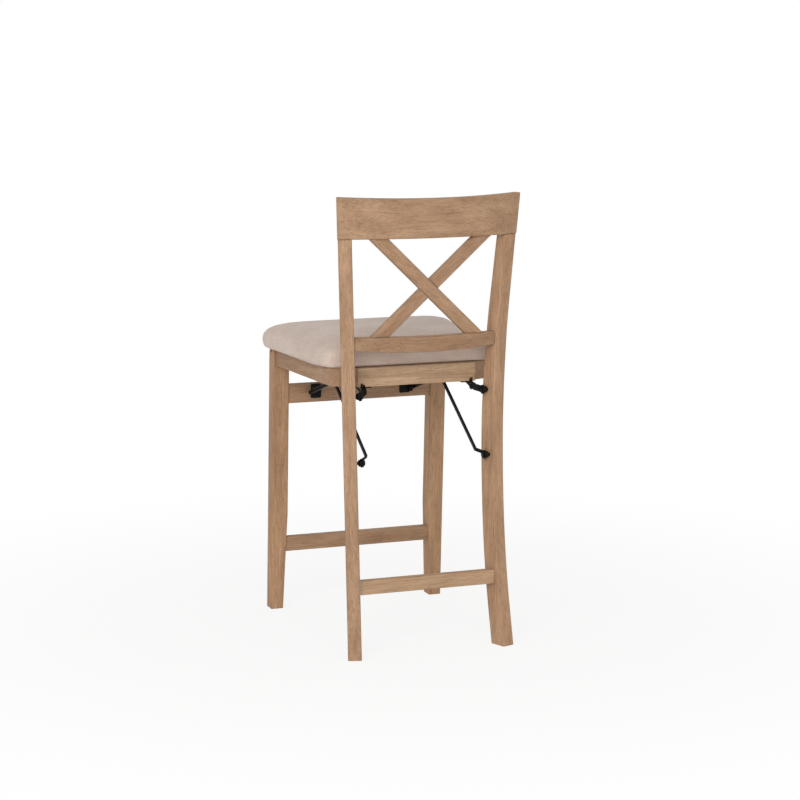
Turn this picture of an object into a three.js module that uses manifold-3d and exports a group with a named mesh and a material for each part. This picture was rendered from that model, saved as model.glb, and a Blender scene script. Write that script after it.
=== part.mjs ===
// Folding bar stool: wooden posts, legs and seat frame, padded seat, steel folding hardware.
// Millimetres. X runs to the sitter's left, Y to the rear, Z up from the floor.
import * as THREE from 'three';
import { mergeVertices } from 'three/addons/utils/BufferGeometryUtils.js';
import Module from 'manifold-3d';

const wasm = await Module();
wasm.setup();

// Overall sizes and clearances
const overall_height = 1100;
const seat_gap = 0.3;
const running_gap = 0.6;
const overrun = 6;
const wood_ease = 3;
const wood_board_ease = 2.2;

// Rear posts
const post_width = 33;
const post_depth_floor = 45.7;
const post_depth_waist = 44;
const post_depth_top = 29.7;
const post_waist_height = 560;
const post_toe_degrees = 19.26;
const post_x = 191.1;
const post_splay_share = 0.022;
const post_y = 233.5;
const post_sweep = 59.6;
const post_height_shares = [0, 0.1636, 0.3273, 0.5091, 0.6909, 0.8455, 1];
const post_sweep_shares = [1, 0.4765, 0.1544, 0, 0.0755, 0.3238, 0.6124];
const post_levels = 22;

// Crest rail and lower back rail
const crest_height = 99;
const crest_thickness = 24;
const crest_dip = 5;
const back_rail_bottom = 735;
const back_rail_height = 32;
const back_rail_thickness = 20;
const back_rail_inset = 6.5;
const back_rail_sag = 6;
const rail_levels = 20;

// Crossed slats of the back
const slat_width = 32;
const slat_thickness = 15;
const slat_top_spread = 129;
const slat_bottom_spread = 119;

// Stretchers between the rear posts and between the front legs
const rear_stretcher_bottom = 149.6;
const rear_stretcher_height = 34.6;
const rear_stretcher_thickness = 20;
const rear_stretcher_inset = 12;
const front_stretcher_bottom = 151;
const front_stretcher_height = 38;
const cross_rail_bottom = 540;
const cross_rail_height = 49;
const leg_rail_thickness = 22;
const leg_rail_inset = 3;

// Front legs
const leg_width = 42;
const leg_depth = 40.3;
const leg_inner_x = 192.25;
const leg_floor_y = -275.2;
const leg_rake_share = 0.058;
const leg_top_gap = 0.5;
const leg_taper = 10;
const leg_taper_height = 250;
const leg_top_round = 14;
const leg_screw_drop = 9;
const leg_screw_radius = 3.5;
const leg_screw_length = 12;

// Seat frame
const frame_bottom = 640;
const frame_height = 45;
const rail_thickness = 22;
const side_front_x = 229;
const side_rear_x = 207.5;
const frame_front_gap = 3.6;
const frame_rear_y = 183;
const rear_rail_depth = 33;
const rear_rail_half = 151;
const rear_setback = 15.5;
const corner_block_length = 42;
const corner_block_depth = 30;
const arm_notch_depth = 8.5;

// Seat board and cushion
const board_thickness = 5;
const board_inset = 14;
const cushion_height = 69;
const cushion_lift = 0.9;
const cushion_front_half = 264;
const cushion_rear_half = 238;
const cushion_front_y = -284;
const cushion_rear_y = 172;
const cushion_squareness = 7;
const cushion_segments = 56;

// Seat hinge: slotted arms on the posts, with pins that slide in them
const arm_pivot_y = 214.5;
const arm_pivot_z = 623;
const hinge_y = 191;
const hinge_drop = 10;
const hinge_travel = 123;
const slot_rise_degrees = 13.13;
const arm_thickness = 4;
const arm_inner_x = 139;
const arm_boss_x = 155;
const arm_width = 16;
const arm_boss_radius = 11;
const pin_radius = 4;
const pin_head_radius = 7;
const pin_head_length = 3;
const lug_thickness = 3.5;
const lug_radius = 9;
const lug_base = 3;
const lug_tab = 6;

// Bolts into the posts
const bolt_radius = 4;
const bolt_head_radius = 7;
const bolt_head_length = 3.5;
const bolt_depth = 16;
const spacer_radius = 8;
const spacer_end_x = 165;

// Bent braces
const brace_pivot_y = 227;
const brace_pivot_z = 465;
const brace_bend_y = 211;
const brace_bend_z = 476.5;
const brace_knee_y = -22;
const brace_knee_z = 625;
const brace_end_y = -210;
const brace_end_z = 568;
const brace_thickness = 5;
const brace_width = 10;
const brace_inner_x = 138;
const brace_boss_radius = 10.5;
const brace_knee_radius = 26;

// Catches on the front cross rail
const catch_inner_x = 107;
const catch_ear_x = 131;
const catch_thickness = 3;
const catch_bottom = 551;
const catch_height = 36;
const catch_reach = 26;
const catch_pin_radius = 3;
const catch_slot_half = 4.6;

// Leg hinges at the front corners of the seat frame
const leg_hinge_drop = 3;
const plate_thickness = 3.4;
const plate_height = 18;
const plate_gap = 0.6;
const plate_length = 34;

// Colours
const wood = { color: 0xa68a6c, roughness: 0.75, metalness: 0 };
const cloth = { color: 0xb9ab9b, roughness: 0.95, metalness: 0 };
const steel = { color: 0x1c1b1a, roughness: 0.45, metalness: 0.8 };
const ply = { color: 0x2b2622, roughness: 0.9, metalness: 0 };

const radians = THREE.MathUtils.degToRad;
const mix = THREE.MathUtils.lerp;
const toe = radians(post_toe_degrees);
const rise = radians(slot_rise_degrees);
const frame_top = frame_bottom + frame_height;
const leg_height = frame_top - leg_top_gap;
const hinge_z = frame_bottom - hinge_drop;
const leg_hinge_z = frame_bottom - leg_hinge_drop;
const board_bottom = frame_top + seat_gap;
const cushion_bottom = frame_top + cushion_lift;
const cushion_recess = board_bottom + board_thickness + seat_gap - cushion_bottom;

// Solids and meshes
function solidOf(geometry) {
  const bare = new THREE.BufferGeometry();
  bare.setAttribute('position', geometry.getAttribute('position'));
  if (geometry.index) bare.setIndex(geometry.index);
  const merged = mergeVertices(bare, 1e-3);
  const mesh = new wasm.Mesh({
    numProp: 3,
    vertProperties: new Float32Array(merged.attributes.position.array),
    triVerts: new Uint32Array(merged.index.array),
  });
  return new wasm.Manifold(mesh);
}

function geometryOf(solid) {
  const mesh = solid.getMesh();
  const geometry = new THREE.BufferGeometry();
  geometry.setAttribute('position', new THREE.BufferAttribute(mesh.vertProperties, 3));
  geometry.setIndex(new THREE.BufferAttribute(mesh.triVerts, 1));
  geometry.computeVertexNormals();
  return geometry;
}

function cut(body, ...tools) {
  return geometryOf(tools.reduce((left, tool) => left.subtract(solidOf(tool)), solidOf(body)));
}

function join(body, ...others) {
  return geometryOf(others.reduce((sum, other) => sum.add(solidOf(other)), solidOf(body)));
}

// A rectangle with eased corners, centred on the origin
function easedRectangle(width, height, ease, steps = 2) {
  const w = width / 2;
  const h = height / 2;
  const shape = new THREE.Shape();
  shape.moveTo(-w + ease, -h);
  shape.lineTo(w - ease, -h);
  shape.quadraticCurveTo(w, -h, w, -h + ease);
  shape.lineTo(w, h - ease);
  shape.quadraticCurveTo(w, h, w - ease, h);
  shape.lineTo(-w + ease, h);
  shape.quadraticCurveTo(-w, h, -w, h - ease);
  shape.lineTo(-w, -h + ease);
  shape.quadraticCurveTo(-w, -h, -w + ease, -h);
  return { shape, steps };
}

// A section carried through stations: place gives the point for each section point and station
function loft({ shape, steps }, stations, place) {
  const last = stations.length - 1;
  const options = { depth: 1, steps: last, bevelEnabled: false, curveSegments: steps };
  const geometry = new THREE.ExtrudeGeometry(shape, options);
  const position = geometry.getAttribute('position');
  for (let i = 0; i < position.count; i += 1) {
    const station = stations[Math.round(position.getZ(i) * last)];
    const point = place(position.getX(i), position.getY(i), station);
    position.setXYZ(i, point.x, point.y, point.z);
  }
  return geometry;
}

function spread(low, high, count) {
  return Array.from({ length: count + 1 }, (_, i) => mix(low, high, i / count));
}

// A box between two corners, its long edges along X eased
function board(low, high, ease = wood_board_ease) {
  const size = new THREE.Vector3().subVectors(high, low);
  const middle = new THREE.Vector3().addVectors(low, high).multiplyScalar(0.5);
  const section = easedRectangle(size.y, size.z, ease);
  return loft(section, [low.x, high.x], (a, b, x) =>
    new THREE.Vector3(x, middle.y + a, middle.z + b));
}

function block(low, high) {
  const size = new THREE.Vector3().subVectors(high, low);
  const middle = new THREE.Vector3().addVectors(low, high).multiplyScalar(0.5);
  return new THREE.BoxGeometry(size.x, size.y, size.z).translate(middle.x, middle.y, middle.z);
}

// A round bar along X
function rod(radius, x_low, x_high, y, z, sides = 24) {
  const geometry = new THREE.CylinderGeometry(radius, radius, x_high - x_low, sides);
  return geometry.rotateZ(-Math.PI / 2).translate((x_low + x_high) / 2, y, z);
}

// A flat plate in the side view, from an outline of Y and Z, between two X values
function plate(shape, x_low, x_high, sides = 10) {
  const options = { depth: x_high - x_low, bevelEnabled: false, curveSegments: sides };
  const geometry = new THREE.ExtrudeGeometry(shape, options);
  const position = geometry.getAttribute('position');
  for (let i = 0; i < position.count; i += 1) {
    position.setXYZ(i, x_low + position.getZ(i), position.getX(i), position.getY(i));
  }
  return geometry;
}

// A strip with round ends between two points of the side view
function strip(y1, z1, y2, z2, half) {
  const along = Math.atan2(z2 - z1, y2 - y1);
  const shape = new THREE.Shape();
  shape.absarc(y2, z2, half, along - Math.PI / 2, along + Math.PI / 2, false);
  shape.absarc(y1, z1, half, along + Math.PI / 2, along + Math.PI * 1.5, false);
  return shape;
}

// Rear post: its rear face follows a smooth curve through the shares of the height
const post_heights = post_height_shares.map((share) => share * overall_height);
const post_offsets = post_sweep_shares.map((share) => share * post_sweep);
const post_slopes = post_heights.map((height, i) => {
  const before = Math.max(i - 1, 0);
  const after = Math.min(i + 1, post_heights.length - 1);
  return (post_offsets[after] - post_offsets[before]) / (post_heights[after] - post_heights[before]);
});

function postSweep(z) {
  const next = post_heights.findIndex((height) => height >= z);
  const i = Math.max(next === -1 ? post_heights.length - 2 : next - 1, 0);
  const run = post_heights[i + 1] - post_heights[i];
  const t = (z - post_heights[i]) / run;
  const ease_in = (1 + 2 * t) * (1 - t) ** 2;
  const ease_out = t * t * (3 - 2 * t);
  const pull_in = t * (1 - t) ** 2 * run * post_slopes[i];
  const pull_out = t * t * (t - 1) * run * post_slopes[i + 1];
  return ease_in * post_offsets[i] + pull_in + ease_out * post_offsets[i + 1] + pull_out;
}

function postDepth(z) {
  if (z < post_waist_height) return mix(post_depth_floor, post_depth_waist, z / post_waist_height);
  const share = (z - post_waist_height) / (overall_height - post_waist_height);
  return mix(post_depth_waist, post_depth_top, share);
}

// A point of the post: across its width from the middle, forward from its rear face
function postPoint(across, forward, z) {
  const sweep = postSweep(z) - forward;
  const x = post_x + post_splay_share * (z - post_waist_height) + sweep * Math.sin(toe);
  const y = post_y + sweep * Math.cos(toe);
  return new THREE.Vector3(x + across * Math.cos(toe), y - across * Math.sin(toe), z);
}

// The post's inner face, with its seat gap, at a place and height
function postInnerX(y, z) {
  const across = -post_width / 2 - seat_gap;
  const forward = (postPoint(across, 0, z).y - y) / Math.cos(toe);
  return postPoint(across, forward, z).x;
}

const crest_bottom = overall_height - crest_height;

function rearPost() {
  const section = easedRectangle(post_width, post_depth_floor, wood_ease);
  const levels = spread(0, crest_bottom - seat_gap, post_levels);
  const post = loft(section, levels, (a, b, z) => {
    const share = (post_depth_floor / 2 - b) / post_depth_floor;
    return postPoint(a, share * postDepth(z), z);
  });
  const bolt_end = spacer_end_x + bolt_depth;
  const hole = bolt_radius + seat_gap;
  const arm_hole = rod(hole, arm_inner_x, bolt_end + seat_gap, arm_pivot_y, arm_pivot_z);
  const brace_hole = rod(hole, arm_inner_x, bolt_end + seat_gap, brace_pivot_y, brace_pivot_z);
  return cut(post, arm_hole, brace_hole);
}

// A bowed rail whose rear face is tangent to the posts' rear faces at the given half span
function bow(half_span) {
  const radius = half_span / Math.sin(toe);
  return (x) => {
    const angle = Math.asin(x / radius);
    return { angle, back: radius * (Math.cos(angle) - Math.cos(toe)) };
  };
}

function crestRail() {
  const section = easedRectangle(crest_thickness, crest_height, wood_ease);
  const shares = spread(-1, 1, rail_levels);
  const middle = crest_height / 2;
  const rail = loft(section, shares, (a, b, share) => {
    const low_share = (middle - b) / crest_height;
    const dip = crest_dip * (1 - share ** 2) * (1 - low_share);
    const z = crest_bottom + middle + b;
    const end = postPoint(0, 0, z);
    const reach = share * (end.x + post_width / 2);
    const { angle, back } = bow(end.x)(reach);
    const depth = crest_thickness / 2 - a;
    const side = reach - depth * Math.sin(angle);
    return new THREE.Vector3(side, end.y + back - depth * Math.cos(angle), z - dip);
  });
  return rail;
}

// The ends of the lower back rail and of the rear stretcher lie square to the posts' inner faces
function postRail(bottom, height, thickness, inset, sag, curved) {
  const section = easedRectangle(thickness, height, wood_board_ease);
  const middle = bottom + height / 2;
  const end = postPoint(-post_width / 2 - seat_gap, inset, middle);
  const places = spread(-end.x, end.x, curved ? rail_levels : 1);
  return loft(section, places, (a, b, x) => {
    const depth = thickness / 2 - a;
    const z = middle + b;
    const share = x / end.x;
    if (!curved) {
      const y = end.y - depth;
      return new THREE.Vector3(share * postInnerX(y, z), y, z);
    }
    const { angle, back } = bow(end.x)(x);
    const drop = b < 0 ? sag * (1 - share ** 2) : 0;
    const y = end.y + back - depth * Math.cos(angle);
    const end_y = end.y - depth * Math.cos(toe);
    const at_end = postInnerX(end_y, z) - (end.x - depth * Math.sin(toe));
    return new THREE.Vector3(x - depth * Math.sin(angle) + share * at_end, y, z - drop);
  });
}

// Crossed slats, cut level top and bottom, half-lapped where they cross
const slat_bottom = back_rail_bottom + back_rail_height + seat_gap;
const slat_top = crest_bottom - seat_gap;
const slat_slope = Math.atan2(slat_top_spread + slat_bottom_spread, slat_top - slat_bottom);
const slat_level_width = slat_width / Math.cos(slat_slope);

// The slats lie flush with the front faces of both rails
function slatMiddleY(z, inset, thickness, x) {
  const end = postPoint(-post_width / 2, inset, z);
  const { back } = bow(end.x)(x);
  return end.y + back - thickness + slat_thickness / 2;
}
const slat_top_y = slatMiddleY(slat_top, 0, crest_thickness, slat_top_spread);
const slat_bottom_y = slatMiddleY(slat_bottom, back_rail_inset, back_rail_thickness, slat_bottom_spread);

function slatBlank(lean, width, thickness, offset, over) {
  const low = slat_bottom - over;
  const high = slat_top + over;
  const height = slat_top - slat_bottom;
  const section = easedRectangle(width, thickness, over ? overrun / 20 : wood_board_ease, 1);
  return loft(section, [low, high], (a, b, z) => {
    const share = (z - slat_bottom) / height;
    const x = lean * mix(-slat_bottom_spread, slat_top_spread, share) + a;
    return new THREE.Vector3(x, mix(slat_bottom_y, slat_top_y, share) + b + offset, z);
  });
}

function crossSlat(lean, lap_side) {
  const blank = slatBlank(lean, slat_level_width, slat_thickness, 0, 0);
  const lap = slat_thickness / 2 + overrun;
  const offset = lap_side * (lap / 2 - seat_gap / 2);
  return cut(blank, slatBlank(-lean, slat_level_width + 2 * seat_gap, lap, offset, overrun));
}

// Front leg: raked back, tapered on its inner side near the floor, rounded at its front top edge
function legMiddleY(z) {
  return leg_floor_y + leg_rake_share * z;
}

function frontLeg() {
  const section = easedRectangle(leg_width, leg_depth, wood_ease);
  const round = spread(0, Math.PI / 2, 5).map((angle) =>
    leg_height - leg_top_round * (1 - Math.sin(angle)));
  const levels = [0, leg_taper_height / 2, leg_taper_height, ...round];
  const leg = loft(section, levels, (a, b, z) => {
    const taper = leg_taper * Math.max(0, 1 - z / leg_taper_height);
    const inner_share = 0.5 - a / leg_width;
    const up = Math.max(0, z - (leg_height - leg_top_round)) / leg_top_round;
    const back = leg_top_round * (1 - Math.sqrt(Math.max(0, 1 - up * up)));
    const front_share = 0.5 - b / leg_depth;
    const x = leg_inner_x + leg_width / 2 + a + taper * inner_share;
    return new THREE.Vector3(x, legMiddleY(z) + b + back * front_share, z);
  });
  const screw_z = leg_height - leg_screw_drop;
  const outer = leg_inner_x + leg_width;
  const hole = rod(leg_screw_radius + seat_gap, outer - leg_screw_length - seat_gap,
    outer + overrun, legMiddleY(screw_z), screw_z, 16);
  return cut(leg, hole);
}

function legScrew() {
  const screw_z = leg_height - leg_screw_drop;
  const outer = leg_inner_x + leg_width;
  const y = legMiddleY(screw_z);
  const body = rod(leg_screw_radius, outer - leg_screw_length, outer, y, screw_z, 16);
  const socket = rod(leg_screw_radius / 2, outer - leg_screw_radius, outer + overrun, y, screw_z, 6);
  return cut(body, socket);
}

function legRail(bottom, height) {
  const half = leg_inner_x - seat_gap;
  const section = easedRectangle(leg_rail_thickness, height, wood_board_ease);
  return loft(section, [-1, 1], (a, b, side) => {
    const z = bottom + height / 2 + b;
    const taper = leg_taper * Math.max(0, 1 - z / leg_taper_height);
    const rear = legMiddleY(z) + leg_depth / 2 - leg_rail_inset;
    return new THREE.Vector3(side * (half + taper), rear - leg_rail_thickness / 2 + a, z);
  });
}

// Seat frame
const hinge_line_y = legMiddleY(leg_hinge_z) + leg_depth / 2;
const frame_front_y = hinge_line_y + frame_front_gap;
const leg_plate_x = leg_inner_x - seat_gap - plate_thickness;
const seat_plate_x = leg_plate_x - plate_gap - plate_thickness;
const front_rail_half = seat_plate_x - seat_gap;
const setback_y = frame_rear_y - rear_setback;
const setback_slope = -Math.tan(toe);

function sideOuterX(y) {
  return mix(side_front_x, side_rear_x, (y - frame_front_y) / (setback_y - frame_front_y));
}

function sideRail() {
  const section = easedRectangle(rail_thickness, frame_height, wood_board_ease);
  return loft(section, [0, 1], (a, b, end) => {
    const y_front = frame_front_y;
    const x_rear = side_rear_x - rail_thickness / 2 - a;
    const y_rear = setback_y + (x_rear - rear_rail_half) * setback_slope;
    const y = end ? y_rear : y_front;
    const x = sideOuterX(y) - rail_thickness / 2 - a;
    return new THREE.Vector3(x, y, frame_bottom + frame_height / 2 + b);
  });
}

function frontRail() {
  return board(
    new THREE.Vector3(-front_rail_half, frame_front_y, frame_bottom),
    new THREE.Vector3(front_rail_half, frame_front_y + rail_thickness, frame_top),
  );
}

function levelPrism(points, low, high) {
  const shape = new THREE.Shape(points.map(([x, y]) => new THREE.Vector2(x, y)));
  const options = { depth: high - low, bevelEnabled: false };
  return new THREE.ExtrudeGeometry(shape, options).translate(0, 0, low);
}

const rear_rail_front_y = frame_rear_y - rear_rail_depth;

function sideInnerX(y) {
  return sideOuterX(y) - rail_thickness - seat_gap;
}

function rearRail() {
  const end_y = setback_y + (side_rear_x - rail_thickness - rear_rail_half) * setback_slope;
  const half = [
    [sideInnerX(rear_rail_front_y), rear_rail_front_y],
    [sideInnerX(end_y), end_y],
    [rear_rail_half, setback_y],
    [rear_rail_half, frame_rear_y],
  ];
  const mirror = half.map(([x, y]) => [-x, y]).reverse();
  const rail = levelPrism([...half, ...mirror], frame_bottom, frame_top);
  const notches = [-1, 1].map((side) => {
    const low = side * (arm_inner_x + arm_thickness / 2) - arm_thickness / 2 - running_gap * 2;
    const wide = arm_thickness + running_gap * 4;
    return block(
      new THREE.Vector3(low, rear_rail_front_y - overrun, frame_bottom - overrun),
      new THREE.Vector3(low + wide, frame_rear_y + overrun, frame_bottom + arm_notch_depth),
    );
  });
  return cut(rail, ...notches);
}

function frontCornerBlock() {
  const low_x = leg_plate_x - plate_gap + seat_gap;
  const y = frame_front_y + plate_height / 2;
  const far = y + corner_block_length;
  const points = [
    [low_x, y],
    [sideInnerX(y), y],
    [sideInnerX(far), far],
    [low_x, far - corner_block_depth / 3],
  ];
  return levelPrism(points, frame_bottom + wood_ease, frame_top - wood_ease);
}

function rearCornerBlock() {
  const y = rear_rail_front_y - seat_gap;
  const near = y - corner_block_depth;
  const points = [
    [sideInnerX(near), near],
    [sideInnerX(y), y],
    [sideInnerX(y) - corner_block_depth, y],
  ];
  return levelPrism(points, frame_bottom + wood_ease, frame_top - wood_ease);
}

// Seat board and cushion follow one rounded outline, wider at the front
function squared(value) {
  return Math.abs(value) < 1e-6 ? 0 : Math.sign(value) * Math.abs(value) ** (2 / cushion_squareness);
}

function seatOutline(angle, inset) {
  const across = squared(Math.cos(angle));
  const along = squared(Math.sin(angle));
  const half_depth = (cushion_rear_y - cushion_front_y) / 2 - inset;
  const y = (cushion_rear_y + cushion_front_y) / 2 + along * half_depth;
  const share = (y - cushion_front_y) / (cushion_rear_y - cushion_front_y);
  return new THREE.Vector2(across * (mix(cushion_front_half, cushion_rear_half, share) - inset), y);
}

// A round profile of radius share and height, spread to the seat outline
function seatForm(profile, inset) {
  const geometry = new THREE.LatheGeometry(profile, cushion_segments);
  const position = geometry.getAttribute('position');
  const middle = (cushion_rear_y + cushion_front_y) / 2;
  for (let i = 0; i < position.count; i += 1) {
    const x = position.getX(i);
    const z = -position.getZ(i);
    const share = Math.hypot(x, z);
    const rim = seatOutline(Math.atan2(z, x), inset);
    const level = position.getY(i);
    position.setXYZ(i, share * rim.x, middle + share * (rim.y - middle), level);
  }
  return geometry;
}

function seatBoard() {
  const top = board_bottom + board_thickness;
  const profile = [[0, board_bottom], [1, board_bottom], [1, top], [0, top]];
  return seatForm(profile.map(([r, z]) => new THREE.Vector2(r, z)), board_inset);
}

// The seat board sits in a shallow recess of the cushion's underside
const recess_share = 0.95;
const cushion_radius_shares = [0.955, 0.98, 0.99, 1, 1, 0.99, 0.965, 0.93, 0.88, 0.8, 0.64, 0.44, 0.22, 0];
const cushion_level_shares = [0, 0, 0.06, 0.22, 0.42, 0.58, 0.7, 0.79, 0.865, 0.925, 0.965, 0.985, 0.997, 1];

function seatCushion() {
  const recess = [0, recess_share].map((share) =>
    new THREE.Vector2(share, cushion_bottom + cushion_recess));
  const skin = cushion_radius_shares.map((share, i) =>
    new THREE.Vector2(share, cushion_bottom + cushion_height * cushion_level_shares[i]));
  return seatForm([...recess, ...skin], 0);
}

// Slotted hinge arm: bolted to the post, joggled inward, running forward under the seat
const slot_end_y = hinge_y - hinge_travel * Math.cos(rise);
const slot_end_z = hinge_z + hinge_travel * Math.sin(rise);

const arm_front_y = slot_end_y - arm_width;
const arm_front_z = hinge_z + (hinge_y - arm_front_y) * Math.tan(rise);
const arm_bend_y = hinge_y + pin_head_radius + running_gap;
const arm_bend_z = hinge_z - (arm_bend_y - hinge_y) * Math.tan(rise);

function hingeArm() {
  const half = arm_width / 2;
  const outer = arm_inner_x + arm_thickness;
  const bar = plate(strip(arm_front_y, arm_front_z, arm_bend_y - half, arm_bend_z + half * Math.tan(rise),
    half), arm_inner_x, outer);
  const slot = plate(strip(slot_end_y, slot_end_z, hinge_y, hinge_z, pin_radius + seat_gap),
    arm_inner_x - overrun, outer + overrun);
  const section = easedRectangle(arm_thickness, arm_width, wood_board_ease / 4, 1);
  const foot_y = arm_pivot_y - bolt_head_radius - running_gap;
  const stations = [
    [arm_inner_x, arm_bend_y - half, arm_bend_z + half * Math.tan(rise)],
    [arm_inner_x, arm_bend_y, arm_bend_z],
    [arm_boss_x, foot_y, arm_pivot_z],
    [arm_boss_x, arm_pivot_y, arm_pivot_z],
  ];
  const neck = loft(section, stations, (a, b, [x, y, z]) =>
    new THREE.Vector3(x + arm_thickness / 2 - a, y, z + b));
  const boss = rod(arm_boss_radius, arm_boss_x, arm_boss_x + arm_thickness, arm_pivot_y, arm_pivot_z);
  const hole = rod(bolt_radius + seat_gap, arm_boss_x - overrun, arm_boss_x + arm_thickness + overrun,
    arm_pivot_y, arm_pivot_z);
  return cut(join(bar, neck, boss), slot, hole);
}

// Bolt with a spacer between the steel and the post
function postBolt(steel_x, steel_thickness, y, z) {
  const head = rod(bolt_head_radius, steel_x - seat_gap - bolt_head_length, steel_x - seat_gap, y, z);
  const shank = rod(bolt_radius, steel_x - seat_gap - bolt_head_length / 2,
    spacer_end_x + bolt_depth, y, z);
  const spacer = rod(spacer_radius, steel_x + steel_thickness + seat_gap, spacer_end_x, y, z);
  return join(head, shank, spacer);
}

// Seat hinge pin that slides in the arm's slot
const lug_x = arm_inner_x - running_gap - lug_thickness;

function hingePin() {
  const outer = arm_inner_x + arm_thickness + running_gap;
  const low = lug_x - pin_head_length / 2;
  const pin = rod(pin_radius, low, outer + pin_head_length / 2, hinge_y, hinge_z);
  const head = rod(pin_head_radius, outer, outer + pin_head_length, hinge_y, hinge_z);
  return join(pin, head);
}

// Lug under the rear rail that hangs on the pin
function hingeLug() {
  const under = frame_bottom - seat_gap;
  const rear = frame_rear_y + seat_gap;
  const front = rear_rail_front_y + lug_base;
  const outline = new THREE.Shape();
  outline.moveTo(front, under);
  outline.lineTo(front, under - lug_base);
  outline.lineTo(hinge_y - lug_radius, hinge_z - lug_radius / 3);
  outline.absarc(hinge_y, hinge_z, lug_radius, -Math.PI * 0.89, Math.PI * 0.3, false);
  outline.lineTo(rear, frame_bottom + lug_tab);
  outline.lineTo(rear, under);
  const ear = plate(outline, lug_x, lug_x + lug_thickness);
  const base = block(
    new THREE.Vector3(lug_x - lug_radius * 2, front, under - lug_base),
    new THREE.Vector3(lug_x + lug_thickness / 2, frame_rear_y - lug_base, under),
  );
  const bore = rod(pin_radius + seat_gap, lug_x - overrun, lug_x + overrun, hinge_y, hinge_z);
  return cut(join(ear, base), bore);
}

// Leg hinge: a plate on the leg, a plate on the seat, one pin
function legPlate() {
  const half = plate_height / 2;
  const front = hinge_line_y - plate_length;
  const bar = plate(strip(front, leg_hinge_z, hinge_line_y, leg_hinge_z, half),
    leg_plate_x, leg_plate_x + plate_thickness);
  const pin = rod(pin_radius, seat_plate_x, leg_plate_x + plate_thickness / 2,
    hinge_line_y, leg_hinge_z, 16);
  return join(bar, pin);
}

function seatPlate() {
  const half = plate_height / 2;
  const rear = hinge_line_y + plate_length;
  const bar = plate(strip(hinge_line_y, leg_hinge_z, rear, leg_hinge_z + half, half),
    seat_plate_x, seat_plate_x + plate_thickness);
  const bore = rod(pin_radius + seat_gap, seat_plate_x - overrun, seat_plate_x + overrun,
    hinge_line_y, leg_hinge_z, 16);
  return cut(bar, bore);
}

// Catch on the rear face of the front cross rail, with a hook open downward for the brace pin
function braceCatch() {
  const z_high = catch_bottom + catch_height;
  const face = (z) => legMiddleY(z) + leg_depth / 2 - leg_rail_inset + seat_gap;
  const leaf_section = easedRectangle(catch_ear_x + catch_thickness - catch_inner_x, catch_height,
    catch_thickness, 2);
  const leaf = loft(leaf_section, [0, catch_thickness], (a, b, out) => {
    const x = (catch_inner_x + catch_ear_x + catch_thickness) / 2 - a;
    const z = catch_bottom + catch_height / 2 + b;
    return new THREE.Vector3(x, face(z) + out, z);
  });
  const back = (z) => face(z) + catch_thickness / 2;
  const tip = back(brace_end_z) + catch_reach;
  const ear_low = brace_end_z - catch_slot_half * 2.4;
  const ear_high = brace_end_z + catch_slot_half * 2.2;
  const ear_shape = new THREE.Shape();
  ear_shape.moveTo(back(catch_bottom), catch_bottom + catch_thickness);
  ear_shape.lineTo(tip - catch_slot_half, ear_low);
  ear_shape.lineTo(tip, ear_low + catch_slot_half);
  ear_shape.lineTo(tip, ear_high - catch_slot_half);
  ear_shape.lineTo(tip - catch_slot_half, ear_high);
  ear_shape.lineTo(back(z_high), z_high - catch_thickness);
  const ear = plate(ear_shape, catch_ear_x, catch_ear_x + catch_thickness);
  const slot = plate(strip(brace_end_y, brace_end_z, brace_end_y, catch_bottom - overrun,
    catch_slot_half), catch_ear_x - overrun, catch_ear_x + catch_thickness + overrun);
  return cut(join(leaf, ear), slot);
}

// Bent brace: a flat bar with a boss at the post, a joggle, a knee and a pin at its front end
function brace() {
  const half = brace_width / 2;
  const knee = new THREE.Vector2(brace_knee_y, brace_knee_z);
  const bend = new THREE.Vector2(brace_bend_y, brace_bend_z);
  const tip = new THREE.Vector2(brace_end_y, brace_end_z);
  const rear_run = bend.clone().sub(knee).normalize().multiplyScalar(brace_knee_radius);
  const front_run = tip.clone().sub(knee).normalize().multiplyScalar(brace_knee_radius);
  const start = knee.clone().add(rear_run);
  const finish = knee.clone().add(front_run);
  const curve = new THREE.QuadraticBezierCurve(start, knee, finish).getPoints(6);
  const path = [bend, ...curve, tip];
  const section = easedRectangle(brace_thickness, brace_width, wood_board_ease / 2, 1);
  const middle_x = brace_inner_x + brace_thickness / 2;
  const points = path.map((point, i) => {
    const before = path[Math.max(i - 1, 0)];
    const after = path[Math.min(i + 1, path.length - 1)];
    const run = after.clone().sub(before).normalize();
    return { x: middle_x, point, across: new THREE.Vector2(run.y, -run.x) };
  });
  const upright = points[0].across;
  const boss_x = arm_boss_x + brace_thickness / 2;
  const pivot = new THREE.Vector2(brace_pivot_y, brace_pivot_z);
  const reach = pivot.clone().sub(bend).normalize().multiplyScalar(bolt_head_radius + running_gap);
  points.unshift({ x: boss_x, point: pivot.clone().sub(reach), across: upright });
  points.unshift({ x: boss_x, point: pivot, across: upright });
  const bar = loft(section, points, (a, b, { x, point, across }) =>
    new THREE.Vector3(x + a, point.x + across.x * b, point.y + across.y * b));
  const boss = rod(brace_boss_radius, arm_boss_x, arm_boss_x + brace_thickness,
    brace_pivot_y, brace_pivot_z);
  const eye = rod(half + seat_gap, brace_inner_x, brace_inner_x + brace_thickness,
    brace_end_y, brace_end_z);
  const pin = rod(catch_pin_radius, catch_ear_x - catch_thickness, brace_inner_x + half / 2,
    brace_end_y, brace_end_z, 16);
  const hole = rod(bolt_radius + seat_gap, arm_boss_x - overrun, arm_boss_x + brace_thickness + overrun,
    brace_pivot_y, brace_pivot_z);
  return cut(join(bar, boss, eye, pin), hole);
}

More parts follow.
